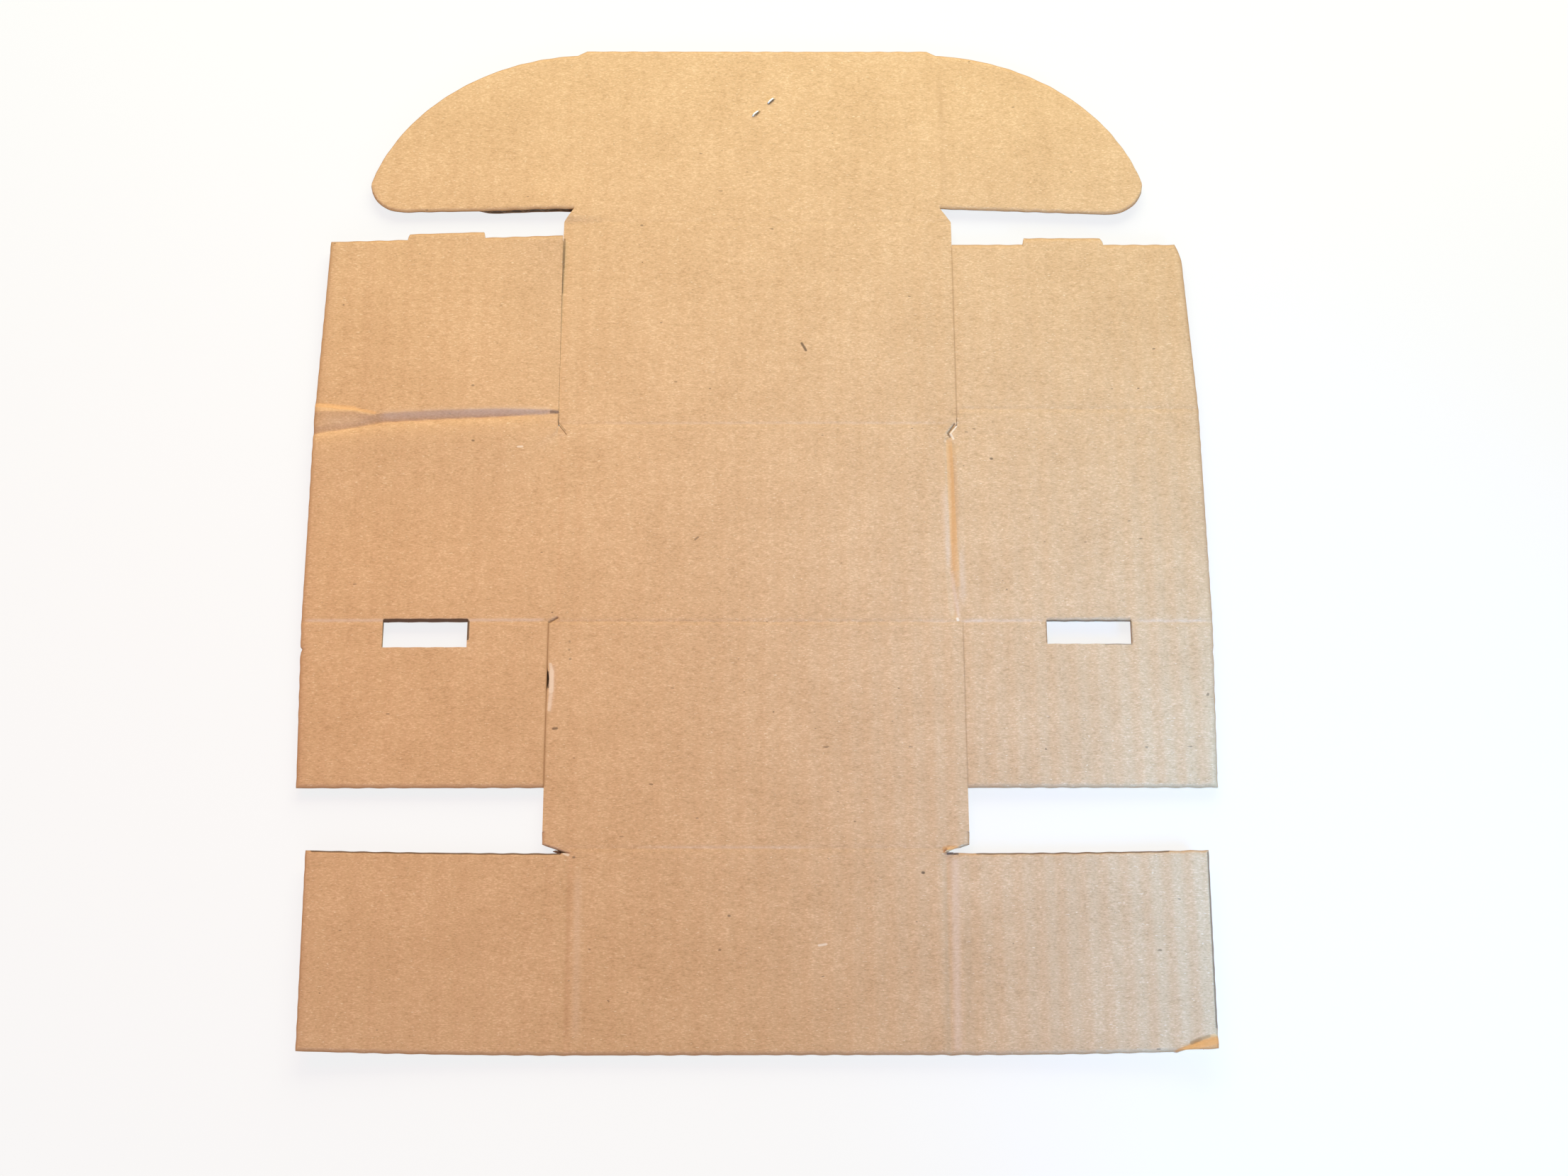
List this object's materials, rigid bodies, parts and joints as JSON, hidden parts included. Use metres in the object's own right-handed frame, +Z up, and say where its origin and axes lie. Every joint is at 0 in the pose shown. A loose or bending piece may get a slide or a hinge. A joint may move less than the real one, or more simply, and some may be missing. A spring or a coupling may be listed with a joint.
{
  "type": "single wall cardboard box",
  "caption": "Opened-out die-cut mailing box of brown corrugated board, with a hinged lid, tuck flap, ears, roll-over side flaps, bottom flaps and corner flaps.",
  "frame": {"origin": "middle of the opened-out sheet, on the face that it lies on", "axes": "+Z up out of the inside face, +Y from the front wall towards the lid and tuck flap, +X right"},
  "size_m": [0.333, 0.45, 0.0046],
  "materials": {
    "kraft_board": "matt brown kraft liner",
    "staple_wire": "bright galvanised wire"
  },
  "bodies": {
    "walls": {"wall_sheet": "kraft_board"},
    "lid": {"lid_panel": "kraft_board"},
    "tuck": {"tuck_flap": "kraft_board", "staple": "staple_wire"},
    "tuck_ear_left": {"tuck_ear_left": "kraft_board"},
    "roll_edge_left": {"roll_edge_left": "kraft_board"},
    "inner_flap_left": {"inner_flap_left": "kraft_board"},
    "bottom_flap_left": {"bottom_flap_left": "kraft_board"},
    "corner_flap_left": {"corner_flap_left": "kraft_board"},
    "tuck_ear_right": {"tuck_ear_right": "kraft_board"},
    "roll_edge_right": {"roll_edge_right": "kraft_board"},
    "inner_flap_right": {"inner_flap_right": "kraft_board"},
    "bottom_flap_right": {"bottom_flap_right": "kraft_board"},
    "corner_flap_right": {"corner_flap_right": "kraft_board"}
  },
  "joints": [
    {"name": "lid_fold", "type": "hinge", "parent": "walls", "child": "lid", "pos_m": [0, 0.042, 0.0028], "axis": [1, 0, 0], "range_deg": [0, 90]},
    {"name": "tuck_fold", "type": "hinge", "parent": "lid", "child": "tuck", "pos_m": [0, 0.1385, 0.0028], "axis": [1, 0, 0], "range_deg": [0, 90]},
    {"name": "ear_fold_left", "type": "hinge", "parent": "tuck", "child": "tuck_ear_left", "pos_m": [-0.071, 0.18175, 0.0028], "axis": [0, 1, 0], "range_deg": [0, 90]},
    {"name": "roll_fold_left", "type": "hinge", "parent": "walls", "child": "roll_edge_left", "pos_m": [-0.1209, 0.037, 0.0028], "axis": [1, 0, 0], "range_deg": [0, 90]},
    {"name": "inner_fold_left", "type": "hinge", "parent": "roll_edge_left", "child": "inner_flap_left", "pos_m": [-0.1209, 0.049, 0.0028], "axis": [1, 0, 0], "range_deg": [0, 90]},
    {"name": "bottom_fold_left", "type": "hinge", "parent": "walls", "child": "bottom_flap_left", "pos_m": [-0.1209, -0.047, 0.0028], "axis": [-1, 0, 0], "range_deg": [0, 90]},
    {"name": "corner_fold_left", "type": "hinge", "parent": "walls", "child": "corner_flap_left", "pos_m": [-0.0668, -0.184, 0.0028], "axis": [0, 1, 0], "range_deg": [0, 90]},
    {"name": "ear_fold_right", "type": "hinge", "parent": "tuck", "child": "tuck_ear_right", "pos_m": [0.071, 0.18175, 0.0028], "axis": [0, -1, 0], "range_deg": [0, 90]},
    {"name": "roll_fold_right", "type": "hinge", "parent": "walls", "child": "roll_edge_right", "pos_m": [0.1209, 0.037, 0.0028], "axis": [1, 0, 0], "range_deg": [0, 90]},
    {"name": "inner_fold_right", "type": "hinge", "parent": "roll_edge_right", "child": "inner_flap_right", "pos_m": [0.1209, 0.049, 0.0028], "axis": [1, 0, 0], "range_deg": [0, 90]},
    {"name": "bottom_fold_right", "type": "hinge", "parent": "walls", "child": "bottom_flap_right", "pos_m": [0.1209, -0.047, 0.0028], "axis": [-1, 0, 0], "range_deg": [0, 90]},
    {"name": "corner_fold_right", "type": "hinge", "parent": "walls", "child": "corner_flap_right", "pos_m": [0.0668, -0.184, 0.0028], "axis": [0, -1, 0], "range_deg": [0, 90]}
  ]
}
